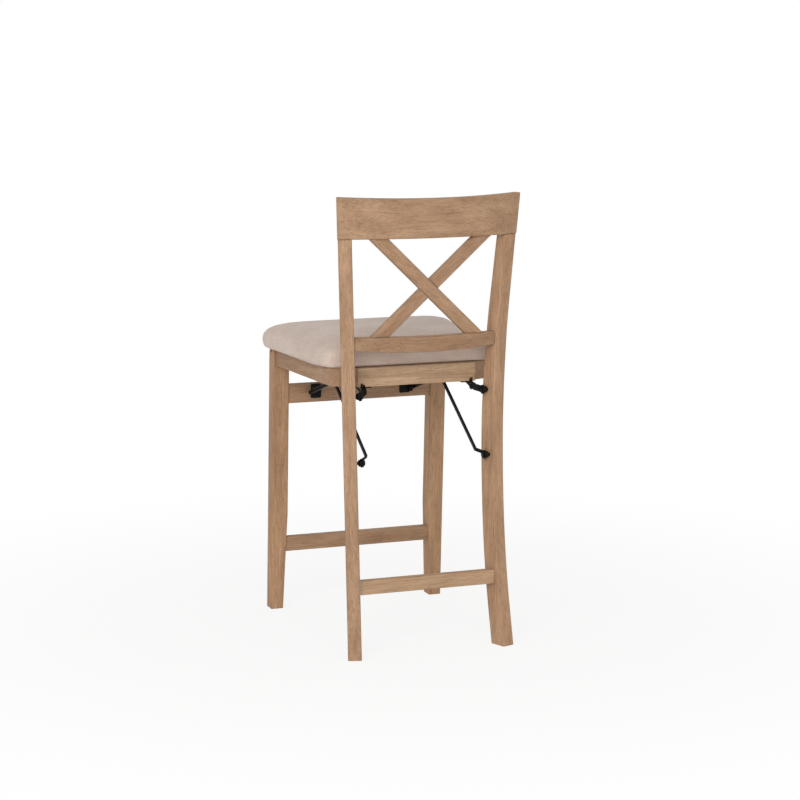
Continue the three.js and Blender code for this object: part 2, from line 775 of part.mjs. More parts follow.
// Assembly, with the origin on the floor under the middle of its length
const crest_end = postPoint(0, 0, overall_height);
const rear_reach = crest_end.y + bow(crest_end.x)(0).back;
const front_reach = legMiddleY(0) - leg_depth / 2;
const stool = new THREE.Group();

function add(name, geometry, look, side = 1) {
  const mesh = new THREE.Mesh(geometry, new THREE.MeshStandardMaterial(look));
  mesh.name = name;
  mesh.scale.x = side;
  mesh.position.y = -(rear_reach + front_reach) / 2;
  stool.add(mesh);
}

function addPair(name, geometry, look) {
  add(`${name}_left`, geometry, look, 1);
  add(`${name}_right`, geometry, look, -1);
}

addPair('rear_post', rearPost(), wood);
add('crest_rail', crestRail(), wood);
add('lower_back_rail', postRail(back_rail_bottom, back_rail_height, back_rail_thickness,
  back_rail_inset, back_rail_sag, true), wood);
add('cross_slat_rear', crossSlat(1, -1), wood);
add('cross_slat_front', crossSlat(-1, 1), wood);
add('rear_stretcher', postRail(rear_stretcher_bottom, rear_stretcher_height,
  rear_stretcher_thickness, rear_stretcher_inset, 0, false), wood);
addPair('front_leg', frontLeg(), wood);
addPair('leg_screw', legScrew(), steel);
add('front_cross_rail', legRail(cross_rail_bottom, cross_rail_height), wood);
add('front_stretcher', legRail(front_stretcher_bottom, front_stretcher_height), wood);
addPair('side_rail', sideRail(), wood);
add('front_rail', frontRail(), wood);
add('rear_rail', rearRail(), wood);
addPair('front_corner_block', frontCornerBlock(), wood);
addPair('rear_corner_block', rearCornerBlock(), wood);
add('seat_board', seatBoard(), ply);
add('seat_cushion', seatCushion(), cloth);
addPair('hinge_arm', hingeArm(), steel);
addPair('arm_bolt', postBolt(arm_boss_x, arm_thickness, arm_pivot_y, arm_pivot_z), steel);
addPair('hinge_pin', hingePin(), steel);
addPair('hinge_lug', hingeLug(), steel);
addPair('leg_plate', legPlate(), steel);
addPair('seat_plate', seatPlate(), steel);
addPair('brace_catch', braceCatch(), steel);
addPair('brace', brace(), steel);
addPair('brace_bolt', postBolt(arm_boss_x, brace_thickness, brace_pivot_y, brace_pivot_z), steel);

export default stool;
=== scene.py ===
"""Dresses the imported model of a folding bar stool: wood, black steel, a padded seat and a plain studio."""

import math

import bpy
import numpy as np
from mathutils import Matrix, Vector


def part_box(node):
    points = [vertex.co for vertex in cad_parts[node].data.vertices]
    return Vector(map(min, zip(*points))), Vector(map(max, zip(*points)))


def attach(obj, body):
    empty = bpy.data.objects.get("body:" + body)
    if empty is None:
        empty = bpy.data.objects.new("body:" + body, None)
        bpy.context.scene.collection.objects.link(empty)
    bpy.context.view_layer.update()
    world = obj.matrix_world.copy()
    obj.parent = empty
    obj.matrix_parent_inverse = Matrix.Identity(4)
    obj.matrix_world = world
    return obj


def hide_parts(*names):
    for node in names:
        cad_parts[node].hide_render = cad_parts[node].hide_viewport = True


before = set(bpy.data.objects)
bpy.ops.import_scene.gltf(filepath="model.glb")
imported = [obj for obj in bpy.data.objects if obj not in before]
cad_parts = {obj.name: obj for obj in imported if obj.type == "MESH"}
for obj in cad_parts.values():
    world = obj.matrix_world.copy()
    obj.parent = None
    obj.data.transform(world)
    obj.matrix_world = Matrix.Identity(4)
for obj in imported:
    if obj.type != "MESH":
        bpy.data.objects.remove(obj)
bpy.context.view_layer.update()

bl_info = {
    "name": "Folding bar stool",
    "version": (1, 0, 0),
    "blender": (4, 5, 0),
    "location": "View3D > Sidebar > Stool",
    "description": "Finishes a wooden folding bar stool with grain, black steel and an upholstered seat",
    "category": "Object",
}

# How each wooden piece's grain runs (upright, across the stool, or from front to rear), and a tint for its
# colours, matched to how bright the piece shows: partly the board's own tone, partly painted light and shade
UPRIGHT = {
    "rear_post_left": "#eaeaea", "rear_post_right": "#f3f2f0", "front_leg_left": "#f3eee7",
    "front_leg_right": "#faf8f2",
}
ACROSS = {
    "crest_rail": "#eaebeb", "lower_back_rail": "#dad8d6", "rear_stretcher": "#f9ffff",
    "front_cross_rail": "#ebeae9", "front_stretcher": "#e3e2e1", "front_rail": "#efefef", "rear_rail": "#f1f9fd",
}
FRONT_TO_REAR = {
    "side_rail_left": "#ededef", "side_rail_right": "#ededef", "front_corner_block_left": "#efefef",
    "front_corner_block_right": "#efefef", "rear_corner_block_left": "#efefef",
    "rear_corner_block_right": "#efefef",
}
# The back's two slats rise or fall towards the sitter's left
RISING = {"cross_slat_rear": "#ebebeb"}
FALLING = {"cross_slat_front": "#e6e5e5"}

# How the names of the steel pieces start
STEEL_WORDS = ("hinge_", "arm_bolt", "leg_plate", "seat_plate", "brace", "leg_screw")

# A wave texture at scale 1 repeats after this many metres
WAVE_LENGTH = 0.314
# Points along each curve of the cushion before they are spaced evenly
OUTLINE_STEPS, CURVE_STEPS = 4000, 400
# The cushion starts inside its box by this share of the swell, and points this near its base are held
START_SHARE, BASE_BAND = 0.6, 0.004
SWELL_FRAMES = 20

# The floor's half size, and the distances between which it fades into white, in metres
FLOOR_HALF, FADE_START, FADE_END = 14, 0.5, 1.9
# Where the two lamps stand, their size, and the point they light
KEY_PLACE, FILL_PLACE = (3.4, 4.2, 3.0), (0.5, 5.5, 2.6)
LAMP_SIZE, LAMP_TARGET = 3.0, (0, 0, 0.55)


def linear(hex_colour):
    """Turns an sRGB hex colour into the linear values that a shader socket holds."""
    values = [int(hex_colour[i:i + 2], 16) / 255 for i in (1, 3, 5)]
    return tuple(v / 12.92 if v <= 0.04045 else ((v + 0.055) / 1.055) ** 2.4 for v in values) + (1.0,)


def colour_setting(name, description, hex_colour):
    """A colour that the user can change, from its sRGB hex value."""
    return bpy.props.FloatVectorProperty(
        name=name, description=description, default=linear(hex_colour), size=4, min=0, max=1, subtype="COLOR"
    )


def add_node(tree, kind, inputs=None, stops=(), **settings):
    """Adds one node with its settings and links.

    An input takes a value or an output socket, and a colour ramp takes its stops of place and colour.
    """
    made = tree.nodes.new(kind)
    for name, value in settings.items():
        setattr(made, name, value)
    for name, value in (inputs or {}).items():
        socket = made.inputs[name]
        if isinstance(value, bpy.types.NodeSocket):
            tree.links.new(value, socket)
        else:
            socket.default_value = value
    for i, (place, colour) in enumerate(stops):
        band = made.color_ramp.elements
        element = band[i] if i < len(band) else band.new(place)
        element.position = place
        element.color = colour
    return made


def new_material(name):
    """An empty node material with its output node."""
    material = bpy.data.materials.new(name)
    material.use_nodes = True
    tree = material.node_tree
    tree.nodes.clear()
    return material, tree, add_node(tree, "ShaderNodeOutputMaterial")


def lay_over(tree, colour, layers):
    """Multiplies a colour by patterns, each with its low and high stop as place and sRGB hex, and its share."""
    for pattern, low, high, share in layers:
        layer = add_node(
            tree, "ShaderNodeValToRGB", {"Fac": pattern},
            stops=[(place, linear(value)) for place, value in (low, high)],
        )
        colour = add_node(
            tree, "ShaderNodeMix", {0: share, 6: colour, 7: layer.outputs["Color"]}, data_type="RGBA",
            blend_type="MULTIPLY",
        ).outputs[2]
    return colour


def brushed_wood(name, turn, tint, look):
    """Rubberwood, planed, wire-brushed, washed in a greyed brown and sealed matt.

    That gives the eye soft darker clouds drawn out along the grain, fine dark grain lines and short pores, a
    greyer wash in patches, and darker edges, which are painted shade for the thin shadows along the eased edges.
    """
    material, tree, output = new_material(name)
    place = add_node(tree, "ShaderNodeTexCoord").outputs["Object"]
    turned = add_node(tree, "ShaderNodeMapping", {"Vector": place, "Rotation": turn}).outputs["Vector"]

    def streaks(along, across, detail, rough):
        """Noise drawn out along the grain, from its length and width in millimetres."""
        scale = (1000 / along, 1000 / across, 1000 / across)
        drawn = add_node(tree, "ShaderNodeMapping", {"Vector": turned, "Scale": scale})
        return add_node(
            tree, "ShaderNodeTexNoise",
            {"Vector": drawn.outputs["Vector"], "Scale": 1.0, "Detail": detail, "Roughness": rough,
             "Distortion": 0.3},
        ).outputs["Fac"]

    # Darker and paler figure 240 mm long and 24 mm wide
    clouds = streaks(240, 24, 4.0, 0.55)
    # Growth rings 2 to 3 mm apart and pores about 0.3 mm wide, drawn 1 mm wide to show at this distance
    grain = streaks(75, 2.6, 5.0, 0.68)
    pores = streaks(13, 1.0, 2.0, 0.5)
    # Patches where more of the wash stayed, 60 by 45 mm
    wash = streaks(60, 45, 4.0, 0.6)
    # The piece's tint scales these colours: partly the board's own tone, partly painted light and shade
    colour = add_node(
        tree, "ShaderNodeValToRGB", {"Fac": clouds},
        stops=[
            (stop, [a * b for a, b in zip(value, linear(tint))])
            for stop, value in ((0.17, look.wood_dark), (0.5, look.wood_middle), (0.83, look.wood_light))
        ],
    ).outputs["Color"]
    colour = lay_over(tree, colour, (
        (grain, (0.32, "#a89c92"), (0.56, "#f6f4f2"), look.grain_strength),
        (pores, (0.3, "#8f837a"), (0.4, "#ffffff"), look.grain_strength),
        (wash, (0.36, "#e2dfdc"), (0.62, "#ffffff"), look.wash_strength),
    ))
    rounded = add_node(tree, "ShaderNodeBevel", {"Radius": look.wood_edge}, samples=6).outputs["Normal"]
    flat = add_node(tree, "ShaderNodeNewGeometry").outputs["True Normal"]
    # The rounded normal leaves the face's own near an edge, where the wood is darkened towards a dark brown:
    # painted shade standing in for the thin shadows along the eased edges
    turn_away = add_node(tree, "ShaderNodeVectorMath", {0: rounded, 1: flat}, operation="DOT_PRODUCT")
    edge_shade_share = add_node(
        tree, "ShaderNodeMapRange",
        {"Value": turn_away.outputs["Value"], "From Min": 0.99, "From Max": 0.8, "To Max": 0.4},
    ).outputs["Result"]
    colour = add_node(
        tree, "ShaderNodeMix", {0: edge_shade_share, 6: colour, 7: look.painted_edge_shade}, data_type="RGBA"
    ).outputs[2]
    roughness = add_node(
        tree, "ShaderNodeMapRange", {"Value": grain, "To Min": 0.7, "To Max": 0.52}
    ).outputs["Result"]
    height = add_node(tree, "ShaderNodeMath", {0: grain, 1: pores}, operation="ADD").outputs["Value"]
    bump = add_node(
        tree, "ShaderNodeBump", {"Strength": 0.2, "Distance": 0.0005, "Height": height, "Normal": rounded}
    ).outputs["Normal"]
    shader = add_node(
        tree, "ShaderNodeBsdfPrincipled",
        {"Base Color": colour, "Roughness": roughness, "IOR": 1.5, "Specular IOR Level": 0.3, "Normal": bump},
    )
    tree.links.new(shader.outputs["BSDF"], output.inputs["Surface"])
    return material


def powder_coated_steel(look):
    """Pressed mild steel, powder coated black: satin, with a fine orange-peel skin and rubbed, greyer spots."""
    material, tree, output = new_material("powder_coated_steel")
    place = add_node(tree, "ShaderNodeTexCoord").outputs["Object"]
    # Orange peel about 1.5 mm across, and rubbed patches about 15 mm across
    peel = add_node(tree, "ShaderNodeTexNoise", {"Vector": place, "Scale": 700.0, "Detail": 2.0}).outputs["Fac"]
    rub = add_node(tree, "ShaderNodeTexNoise", {"Vector": place, "Scale": 65.0, "Detail": 5.0}).outputs["Fac"]
    colour = add_node(
        tree, "ShaderNodeValToRGB", {"Fac": rub}, stops=((0.42, look.steel), (0.75, look.steel_worn))
    ).outputs["Color"]
    roughness = add_node(
        tree, "ShaderNodeMapRange", {"Value": rub, "To Min": 0.42, "To Max": 0.6}
    ).outputs["Result"]
    rounded = add_node(tree, "ShaderNodeBevel", {"Radius": 0.0006}, samples=4).outputs["Normal"]
    bump = add_node(
        tree, "ShaderNodeBump", {"Strength": 0.12, "Distance": 0.0003, "Height": peel, "Normal": rounded}
    ).outputs["Normal"]
    shader = add_node(
        tree, "ShaderNodeBsdfPrincipled",
        {"Base Color": colour, "Roughness": roughness, "IOR": 1.5, "Specular IOR Level": 0.12, "Normal": bump},
    )
    tree.links.new(shader.outputs["BSDF"], output.inputs["Surface"])
    return material


def woven_polyester(look):
    """Plain woven polyester in a warm pale grey, pulled over foam.

    That gives the eye a fine two-way thread that turns down over the edge with the cloth, thicker threads here
    and there, soft clouds where the cloth was stretched, and a faint pale sheen.
    """
    material, tree, output = new_material("woven_polyester")
    cloth = add_node(tree, "ShaderNodeUVMap", uv_map="cloth").outputs["UV"]
    # The threads are drawn coarse enough to show at this distance
    scale = WAVE_LENGTH / look.thread_spacing
    warp, weft = (
        add_node(
            tree, "ShaderNodeTexWave",
            {"Vector": cloth, "Scale": scale, "Distortion": 1.4, "Detail": 1.0, "Detail Scale": 2.0},
            wave_type="BANDS", bands_direction=way,
        ).outputs["Fac"]
        for way in ("X", "Y")
    )
    threads = add_node(tree, "ShaderNodeMath", {0: warp, 1: weft}, operation="MAXIMUM").outputs["Value"]
    # Slubs 30 mm long and 2 mm thick along either thread
    slubs = []
    for size in ((33, 500, 1), (500, 33, 1)):
        drawn = add_node(tree, "ShaderNodeMapping", {"Vector": cloth, "Scale": size}).outputs["Vector"]
        slubs.append(
            add_node(tree, "ShaderNodeTexNoise", {"Vector": drawn, "Scale": 1.0, "Detail": 2.0}).outputs["Fac"]
        )
    slub = add_node(tree, "ShaderNodeMath", {0: slubs[0], 1: slubs[1]}, operation="MULTIPLY").outputs["Value"]
    clouds = add_node(tree, "ShaderNodeTexNoise", {"Vector": cloth, "Scale": 9.0, "Detail": 3.0}).outputs["Fac"]
    colour = add_node(
        tree, "ShaderNodeValToRGB", {"Fac": slub}, stops=((0.14, look.cloth_dark), (0.36, look.cloth_light))
    ).outputs["Color"]
    colour = lay_over(tree, colour, (
        (threads, (0.25, "#dcd6d1"), (0.75, "#ffffff"), 0.6),
        (clouds, (0.35, "#ece8e6"), (0.65, "#ffffff"), 0.7),
    ))
    height = add_node(tree, "ShaderNodeMath", {0: threads, 1: slub}, operation="ADD").outputs["Value"]
    bump = add_node(
        tree, "ShaderNodeBump", {"Strength": 0.22, "Distance": 0.0004, "Height": height}
    ).outputs["Normal"]
    shader = add_node(
        tree, "ShaderNodeBsdfPrincipled",
        {"Base Color": colour, "Roughness": 0.92, "Sheen Weight": 0.2, "Sheen Roughness": 0.5,
         "Specular IOR Level": 0.15, "Normal": bump},
    )
    tree.links.new(shader.outputs["BSDF"], output.inputs["Surface"])
    return material


def dust_cloth(look):
    """Thin black non-woven cloth stapled over plywood under the seat: matt, with a felted speckle.

    The seat's own pale cloth is pulled down over the board's edge, so only the face that looks down is black.
    """
    material, tree, output = new_material("dust_cloth")
    place = add_node(tree, "ShaderNodeTexCoord").outputs["Object"]
    # Felted fibres in tufts about 2.4 mm across
    felt = add_node(tree, "ShaderNodeTexNoise", {"Vector": place, "Scale": 420.0, "Detail": 4.0}).outputs["Fac"]
    colour = add_node(
        tree, "ShaderNodeValToRGB", {"Fac": felt}, stops=((0.35, look.felt_dark), (0.7, look.felt_light))
    ).outputs["Color"]
    # In the board's own frame, so that it holds when the seat folds up
    own_normal = add_node(tree, "ShaderNodeTexCoord").outputs["Normal"]
    upward = add_node(tree, "ShaderNodeSeparateXYZ", {"Vector": own_normal}).outputs["Z"]
    edge = add_node(tree, "ShaderNodeMath", {0: upward, 1: -0.5}, operation="GREATER_THAN").outputs["Value"]
    colour = add_node(
        tree, "ShaderNodeMix", {0: edge, 6: colour, 7: look.cloth_dark}, data_type="RGBA"
    ).outputs[2]
    bump = add_node(
        tree, "ShaderNodeBump", {"Strength": 0.3, "Distance": 0.0004, "Height": felt}
    ).outputs["Normal"]
    shader = add_node(
        tree, "ShaderNodeBsdfPrincipled", {"Base Color": colour, "Roughness": 0.95, "Normal": bump}
    )
    tree.links.new(shader.outputs["BSDF"], output.inputs["Surface"])
    return material


def assign(piece, material):
    """Gives a piece one material."""
    piece.data.materials.clear()
    piece.data.materials.append(material)


def grid_mesh(name, points):
    """A closed mesh from rings of points, rows by columns by 3: columns wrap round, end rows are poles."""
    rows, columns, _ = points.shape
    body = points[1:-1].reshape(-1, 3)
    vertices = np.vstack([points[:1, 0], body, points[-1:, 0]])
    ring = np.arange(columns)
    after = (ring + 1) % columns
    first = 1 + ring
    last = 1 + (rows - 3) * columns + ring
    start = np.stack([np.zeros(columns, int), 1 + after, first], 1)
    end = np.stack([np.full(columns, len(vertices) - 1), last, 1 + (rows - 3) * columns + after], 1)
    low = 1 + np.arange(rows - 3)[:, None] * columns
    quads = np.stack([low + ring, low + after, low + columns + after, low + columns + ring], -1).reshape(-1, 4)
    mesh = bpy.data.meshes.new(name)
    mesh.from_pydata(vertices.tolist(), [], start.tolist() + quads.tolist() + end.tolist())
    mesh.update()
    return mesh


def evenly(points, count, closed):
    """Points spaced evenly along a line of points, by its running length."""
    line = np.vstack([points, points[:1]]) if closed else points
    length = np.concatenate([[0], np.cumsum(np.linalg.norm(np.diff(line, axis=0), axis=1))])
    places = np.linspace(0, length[-1], count, endpoint=not closed)
    return np.stack([np.interp(places, length, line[:, i]) for i in range(line.shape[1])], 1)


def bent(angle, power):
    """The two sides of a superellipse of a power, at an angle: a cosine and a sine drawn out to a square."""
    sides = np.stack([np.cos(angle), np.sin(angle)], 1)
    return np.sign(sides) * np.abs(sides) ** (2 / power)


def cushion_points(box, look, shrink):
    """Rings round the seat's outline, from the middle of its flat base to the middle of its crown.

    The outline is a superellipse, squarer at the rear, whose width falls evenly from front to rear. The
    profile, as shares of the outline and of the height, runs out along the base, out and up by a small quarter
    superellipse to the widest level, and up and in by a large one to the crown. The base draws in less towards
    the rear.
    """
    low, high = (np.array(corner) for corner in box)
    middle = (low + high) / 2
    half = (high - low) / 2 - shrink
    turn = np.linspace(0, 2 * np.pi, OUTLINE_STEPS, endpoint=False)
    front = np.sin(turn)[:, None] < 0
    around = np.where(front, bent(turn, look.cushion_front_squareness), bent(turn, look.cushion_rear_squareness))
    width = half[0] * look.cushion_widen * (1 - (1 - look.cushion_taper) * (around[:, 1] + 1) / 2)
    rim = evenly(np.stack([around[:, 0] * width, around[:, 1] * half[1]], 1), look.cushion_columns, True)
    quarter = np.linspace(0, np.pi / 2, CURVE_STEPS)
    lower = bent(quarter, look.cushion_foot_squareness)
    upper = bent(quarter, look.cushion_crown_squareness)
    waist = look.cushion_waist
    # Share of the outline, share of the height, and share of the draw-in of the base
    foot = np.stack([np.ones(CURVE_STEPS), waist * (1 - lower[:, 0]), 1 - lower[:, 1]], 1)
    crown = np.stack([upper[:, 0], waist + (1 - waist) * upper[:, 1], np.zeros(CURVE_STEPS)], 1)
    size = (half[0], high[2] - low[2] - shrink, look.cushion_front_foot * half[0])
    profile = evenly(np.vstack([[[0, 0, 0]], foot, crown]) * size, look.cushion_rows, False) / size
    to_rear = (rim[:, 1] / half[1] + 1) / 2
    draw_in = look.cushion_front_foot + (look.cushion_rear_foot - look.cushion_front_foot) * to_rear
    reach = profile[:, 0, None] - profile[:, 2, None] * draw_in
    points = np.empty((len(profile), len(rim), 3))
    points[..., :2] = middle[:2] + reach[..., None] * rim
    points[..., 2] = low[2] + profile[:, 1, None] * size[1]
    return points


def lay_cloth(mesh):
    """Gives the mesh a UV map in metres, as of one sheet laid on top and pulled down over the edges.

    Each point takes its place seen from above, moved out along its level normal by how far it lies below the
    crown.
    """
    count = len(mesh.vertices)
    place, normal = (np.empty(count * 3) for _ in range(2))
    mesh.vertices.foreach_get("co", place)
    mesh.vertices.foreach_get("normal", normal)
    place, normal = place.reshape(-1, 3), normal.reshape(-1, 3)
    drop = place[:, 2].max() - place[:, 2:]
    sheet = place[:, :2] + normal[:, :2] * drop
    corner = np.empty(len(mesh.loops), int)
    mesh.loops.foreach_get("vertex_index", corner)
    mesh.uv_layers.new(name="cloth").data.foreach_set("uv", sheet[corner].ravel())


def puff(piece, look):
    """Swells the cloth with air pressure, its base held, and keeps each point within the swell."""
    mesh = piece.data
    start = np.empty(len(mesh.vertices) * 3)
    mesh.vertices.foreach_get("co", start)
    start = start.reshape(-1, 3)
    base = piece.vertex_groups.new(name="base")
    base.add(np.flatnonzero(start[:, 2] < start[:, 2].min() + BASE_BAND).tolist(), 1.0, "REPLACE")
    cloth = piece.modifiers.new("cloth", "CLOTH")
    values = cloth.settings
    values.quality = 6
    values.mass = 0.3
    values.tension_stiffness = 18
    values.compression_stiffness = 18
    values.shear_stiffness = 6
    values.bending_stiffness = 0.6
    values.use_pressure = True
    values.uniform_pressure_force = look.pressure
    values.vertex_group_mass = "base"
    values.effector_weights.gravity = 0
    cloth.collision_settings.use_collision = False
    scene = bpy.context.scene
    for step in range(1, SWELL_FRAMES + 1):
        scene.frame_set(step)
    evaluated = piece.evaluated_get(bpy.context.evaluated_depsgraph_get())
    end = np.empty(len(evaluated.data.vertices) * 3)
    evaluated.data.vertices.foreach_get("co", end)
    move = end.reshape(-1, 3) - start
    length = np.linalg.norm(move, axis=1, keepdims=True)
    move *= np.minimum(1, look.swell / np.maximum(length, 1e-9))
    piece.modifiers.remove(cloth)
    piece.vertex_groups.clear()
    mesh.vertices.foreach_set("co", (start + move).ravel())
    mesh.update()
    scene.frame_set(1)


def tool(piece, kind, **settings):
    """Adds a modifier and applies it."""
    made = piece.modifiers.new(kind.lower(), kind)
    for name, value in settings.items():
        setattr(made, name, value)
    with bpy.context.temp_override(object=piece, active_object=piece, selected_objects=[piece]):
        bpy.ops.object.modifier_apply(modifier=made.name)


class StoolLook(bpy.types.PropertyGroup):
    """The colours and patterns of the stool and the form of its cushion"""

    wood_dark: colour_setting("Dark wood", "Darkest clouds of the wood", "#ab8767")
    wood_middle: colour_setting("Wood", "Main colour of the wood", "#c59e7d")
    wood_light: colour_setting("Light wood", "Palest clouds of the wood", "#d9b592")
    # Painted shade along the eased edges, standing in for their thin shadows
    painted_edge_shade: colour_setting("Shaded edges", "Wood along the eased edges", "#735844")
    grain_strength: bpy.props.FloatProperty(
        name="Grain strength", description="How dark the grain lines and pores are", default=0.58, min=0, max=1,
        subtype="FACTOR",
    )
    wash_strength: bpy.props.FloatProperty(
        name="Wash strength", description="How grey the patches of wash are", default=0.4, min=0, max=1,
        subtype="FACTOR",
    )
    wood_edge: bpy.props.FloatProperty(
        name="Wood edge", description="Radius of the eased edges", default=0.0018, min=0, precision=4,
        subtype="DISTANCE", unit="LENGTH",
    )
    steel: colour_setting("Steel", "Powder coat", "#0a0a0a")
    steel_worn: colour_setting("Rubbed steel", "Rubbed spots of the powder coat", "#1a1918")
    felt_dark: colour_setting("Dust cloth, dark", "Darker felt under the seat", "#1d1a18")
    felt_light: colour_setting("Dust cloth, light", "Paler felt under the seat", "#37322e")
    cloth_dark: colour_setting("Cloth, dark", "Darker threads", "#cebaae")
    cloth_light: colour_setting("Cloth, light", "Paler threads", "#ddcdc1")
    thread_spacing: bpy.props.FloatProperty(
        name="Thread spacing", description="Distance between threads", default=0.0017, min=0.0005, precision=4,
        subtype="DISTANCE", unit="LENGTH",
    )
    cushion_front_squareness: bpy.props.FloatProperty(
        name="Front squareness", description="Power of the outline at the front: higher is squarer", default=9,
        min=2,
    )
    cushion_rear_squareness: bpy.props.FloatProperty(
        name="Rear squareness", description="Power of the outline at the rear: higher is squarer", default=16,
        min=2,
    )
    cushion_taper: bpy.props.FloatProperty(
        name="Cushion taper", description="Rear width over front width", default=0.83, min=0.5, max=1,
        precision=4,
    )
    cushion_widen: bpy.props.FloatProperty(
        name="Cushion width", description="Width of the untrimmed front over the width of the box",
        default=1.056, min=0.9, max=1.1, precision=3,
    )
    cushion_front_foot: bpy.props.FloatProperty(
        name="Front foot", description="How far the base draws in at the front, as a share of the half width",
        default=0.07, min=0, max=0.2, precision=3,
    )
    cushion_rear_foot: bpy.props.FloatProperty(
        name="Rear foot", description="How far the base draws in at the rear, as a share of the half width",
        default=0.015, min=0, max=0.2, precision=3,
    )
    cushion_waist: bpy.props.FloatProperty(
        name="Cushion waist", description="Level of the widest place, as a share of the height",
        default=0.28, min=0.1, max=0.8,
    )
    cushion_foot_squareness: bpy.props.FloatProperty(
        name="Foot squareness", description="Power of the curve under the widest place", default=2.2, min=1
    )
    cushion_crown_squareness: bpy.props.FloatProperty(
        name="Crown squareness", description="Power of the curve over the widest place", default=3.2, min=1
    )
    cushion_columns: bpy.props.IntProperty(
        name="Cushion columns", description="Points round the outline before remeshing", default=240, min=24
    )
    cushion_rows: bpy.props.IntProperty(
        name="Cushion rows", description="Points from base to crown before remeshing", default=90, min=12
    )
    voxel: bpy.props.FloatProperty(
        name="Cloth grid", description="Size of the cloth's cells", default=0.006, min=0.003, precision=4,
        subtype="DISTANCE", unit="LENGTH",
    )
    pressure: bpy.props.FloatProperty(
        name="Pressure", description="Air pressure that stands in for the foam", default=4.0, min=0
    )
    swell: bpy.props.FloatProperty(
        name="Swell", description="Most that the cloth moves out", default=0.004, min=0, precision=4,
        subtype="DISTANCE", unit="LENGTH",
    )


class StudioLook(bpy.types.PropertyGroup):
    """The camera and the strength of the lights"""

    camera_place: bpy.props.FloatVectorProperty(
        name="Camera", description="Where the camera stands", default=(2.0426, 5.50506, 1.5409), subtype="XYZ",
        unit="LENGTH",
    )
    camera_target: bpy.props.FloatVectorProperty(
        name="Target", description="What the camera looks at", default=(-0.00009, 0.0603, 0.58275), subtype="XYZ",
        unit="LENGTH",
    )
    lens: bpy.props.FloatProperty(name="Lens", description="Focal length in millimetres", default=108.13, min=10)
    key_power: bpy.props.FloatProperty(
        name="Key light", description="Power of the large soft light", default=130, min=0, subtype="POWER",
        unit="POWER",
    )
    fill_power: bpy.props.FloatProperty(
        name="Fill light", description="Power of the second soft light", default=56, min=0, subtype="POWER",
        unit="POWER",
    )
    sky: bpy.props.FloatProperty(name="Sky", description="Strength of the even light", default=0.57, min=0)


class StoolWood(bpy.types.Operator):
    """Gives every wooden piece brushed wood whose grain runs along it"""

    bl_idname = "stool.wood"
    bl_label = "Wood"

    def execute(self, context):
        look = context.scene.stool_look
        # Turns that bring each board's length to X, where the material's grain runs
        quarter = math.pi / 2
        low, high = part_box("cross_slat_rear")
        lean = math.atan2(high[2] - low[2], high[0] - low[0])
        boards = (
            (UPRIGHT, (0, quarter, 0)), (ACROSS, (0, 0, 0)), (FRONT_TO_REAR, (0, 0, quarter)),
            (RISING, (0, lean, 0)), (FALLING, (0, -lean, 0)),
        )
        # Each piece gets its own copy of the wood, tinted partly for its board's tone and partly as painted light
        # and shade
        for pieces, turn in boards:
            for name, tint in pieces.items():
                assign(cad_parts[name], brushed_wood(f"brushed_wood_{name}", turn, tint, look))
        return {"FINISHED"}


class StoolSteel(bpy.types.Operator):
    """Gives the hinges, braces and bolts their black powder coat, and the seat board its dust cloth"""

    bl_idname = "stool.steel"
    bl_label = "Steel"

    def execute(self, context):
        look = context.scene.stool_look
        coat = powder_coated_steel(look)
        for name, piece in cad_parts.items():
            if name.startswith(STEEL_WORDS):
                assign(piece, coat)
        assign(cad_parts["seat_board"], dust_cloth(look))
        return {"FINISHED"}


class StoolCushion(bpy.types.Operator):
    """Makes the padded seat: a crowned form, swelled by a cloth simulation with its base held flat"""

    bl_idname = "stool.cushion"
    bl_label = "Cushion"

    def execute(self, context):
        look = context.scene.stool_look
        # The cloth starts a little small, because it swells
        points = cushion_points(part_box("seat_cushion"), look, look.swell * START_SHARE)
        piece = bpy.data.objects.new("seat_pad", grid_mesh("seat_pad", points))
        context.scene.collection.objects.link(piece)
        tool(piece, "REMESH", mode="VOXEL", voxel_size=look.voxel)
        puff(piece, look)
        tool(piece, "SUBSURF", levels=1, render_levels=1)
        piece.data.shade_smooth()
        lay_cloth(piece.data)
        assign(piece, woven_polyester(look))
        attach(piece, "seat")
        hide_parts("seat_cushion")
        return {"FINISHED"}


class StoolStage(bpy.types.Operator):
    """Sets the pale floor, the soft lights and the camera"""

    bl_idname = "stool.stage"
    bl_label = "Stage"

    def execute(self, context):
        studio = context.scene.studio_look
        scene = context.scene
        scene.view_settings.view_transform = "Standard"
        add_floor()
        add_sky(scene, studio.sky)
        add_light("key", KEY_PLACE, studio.key_power)
        add_light("fill", FILL_PLACE, studio.fill_power)
        camera = bpy.data.objects.new("camera", bpy.data.cameras.new("camera"))
        scene.collection.objects.link(camera)
        camera.data.lens = studio.lens
        camera.data.sensor_width = 36
        camera.data.clip_end = 50
        camera.location = studio.camera_place
        look_at(camera, studio.camera_target)
        scene.camera = camera
        return {"FINISHED"}


def look_at(thing, target):
    """Turns a camera or lamp, which looks along its own -Z, to a point."""
    way = Vector(target) - thing.location
    thing.rotation_euler = way.to_track_quat("-Z", "Y").to_euler()


def add_light(name, place, power):
    """A square soft lamp aimed at the middle of the stool."""
    lamp = bpy.data.lights.new(name, "AREA")
    lamp.shape = "SQUARE"
    lamp.size = LAMP_SIZE
    lamp.energy = power
    thing = bpy.data.objects.new(name, lamp)
    bpy.context.scene.collection.objects.link(thing)
    thing.location = place
    look_at(thing, LAMP_TARGET)


def seen_rays(tree):
    """One where a ray comes from the camera or shows in gloss or glass."""
    rays = add_node(tree, "ShaderNodeLightPath").outputs
    shown = add_node(
        tree, "ShaderNodeMath", {0: rays["Is Camera Ray"], 1: rays["Is Glossy Ray"]}, operation="MAXIMUM"
    ).outputs["Value"]
    return add_node(
        tree, "ShaderNodeMath", {0: shown, 1: rays["Is Transmission Ray"]}, operation="MAXIMUM"
    ).outputs["Value"]


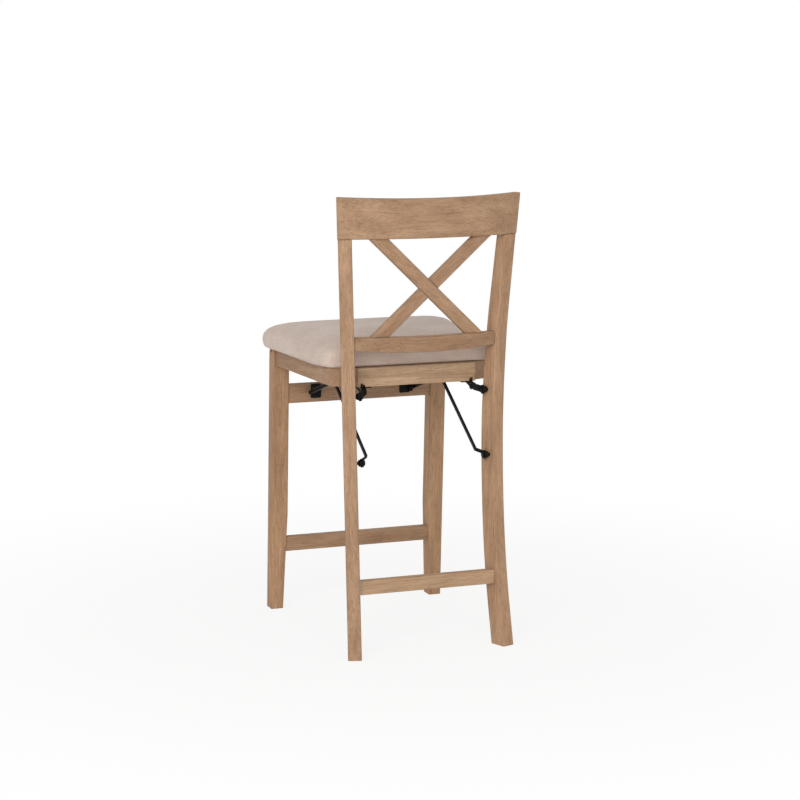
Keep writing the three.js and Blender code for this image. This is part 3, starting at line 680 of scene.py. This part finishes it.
def add_floor():
    """A wide pale floor that mostly shows as white and keeps a light share of the shadow."""
    mesh = bpy.data.meshes.new("floor")
    corners = [(x * FLOOR_HALF, y * FLOOR_HALF, 0) for x, y in ((-1, -1), (1, -1), (1, 1), (-1, 1))]
    mesh.from_pydata(corners, [], [(0, 1, 2, 3)])
    floor = bpy.data.objects.new("floor", mesh)
    bpy.context.scene.collection.objects.link(floor)
    material, tree, output = new_material("studio_floor")
    paint = add_node(tree, "ShaderNodeBsdfDiffuse", {"Color": linear("#f2f1ef")})
    glow = add_node(tree, "ShaderNodeEmission", {"Color": (1, 1, 1, 1), "Strength": 1.0})
    place = add_node(tree, "ShaderNodeTexCoord").outputs["Object"]
    away = add_node(tree, "ShaderNodeVectorMath", {0: place}, operation="LENGTH").outputs["Value"]
    # The shadow shows round the stool, and the floor fades into the white beyond it
    plain = add_node(
        tree, "ShaderNodeMapRange",
        {"Value": away, "From Min": FADE_START, "From Max": FADE_END, "To Min": 0.84, "To Max": 1.0},
        interpolation_type="SMOOTHSTEP",
    ).outputs["Result"]
    share = add_node(tree, "ShaderNodeMath", {0: seen_rays(tree), 1: plain}, operation="MULTIPLY")
    both = add_node(tree, "ShaderNodeMixShader", {0: share.outputs["Value"]})
    tree.links.new(paint.outputs["BSDF"], both.inputs[1])
    tree.links.new(glow.outputs["Emission"], both.inputs[2])
    tree.links.new(both.outputs["Shader"], output.inputs["Surface"])
    floor.data.materials.append(material)


def add_sky(scene, strength):
    """Even white light, shown to the camera as plain white."""
    world = bpy.data.worlds.new("studio")
    scene.world = world
    world.use_nodes = True
    tree = world.node_tree
    tree.nodes.clear()
    output = add_node(tree, "ShaderNodeOutputWorld")
    level = add_node(
        tree, "ShaderNodeMapRange", {"Value": seen_rays(tree), "To Min": strength, "To Max": 1.0}
    ).outputs["Result"]
    shade = add_node(tree, "ShaderNodeBackground", {"Color": (1, 1, 1, 1), "Strength": level})
    tree.links.new(shade.outputs["Background"], output.inputs["Surface"])


class StoolPanel(bpy.types.Panel):
    bl_idname = "VIEW3D_PT_stool"
    bl_label = "Folding bar stool"
    bl_space_type = "VIEW_3D"
    bl_region_type = "UI"
    bl_category = "Stool"

    def draw(self, context):
        for group in (context.scene.stool_look, context.scene.studio_look):
            for name in group.bl_rna.properties.keys():
                if name not in ("rna_type", "name"):
                    self.layout.prop(group, name)
        for step in STEPS:
            self.layout.operator(step.bl_idname)


STEPS = (StoolWood, StoolSteel, StoolCushion, StoolStage)
CLASSES = (StoolLook, StudioLook, *STEPS, StoolPanel)


def register():
    for one in CLASSES:
        bpy.utils.register_class(one)
    bpy.types.Scene.stool_look = bpy.props.PointerProperty(type=StoolLook)
    bpy.types.Scene.studio_look = bpy.props.PointerProperty(type=StudioLook)


def unregister():
    del bpy.types.Scene.studio_look
    del bpy.types.Scene.stool_look
    for one in reversed(CLASSES):
        bpy.utils.unregister_class(one)


def main():
    register()
    bpy.ops.stool.wood()
    bpy.ops.stool.steel()
    bpy.ops.stool.cushion()
    bpy.ops.stool.stage()


if __name__ == "__main__":
    main()
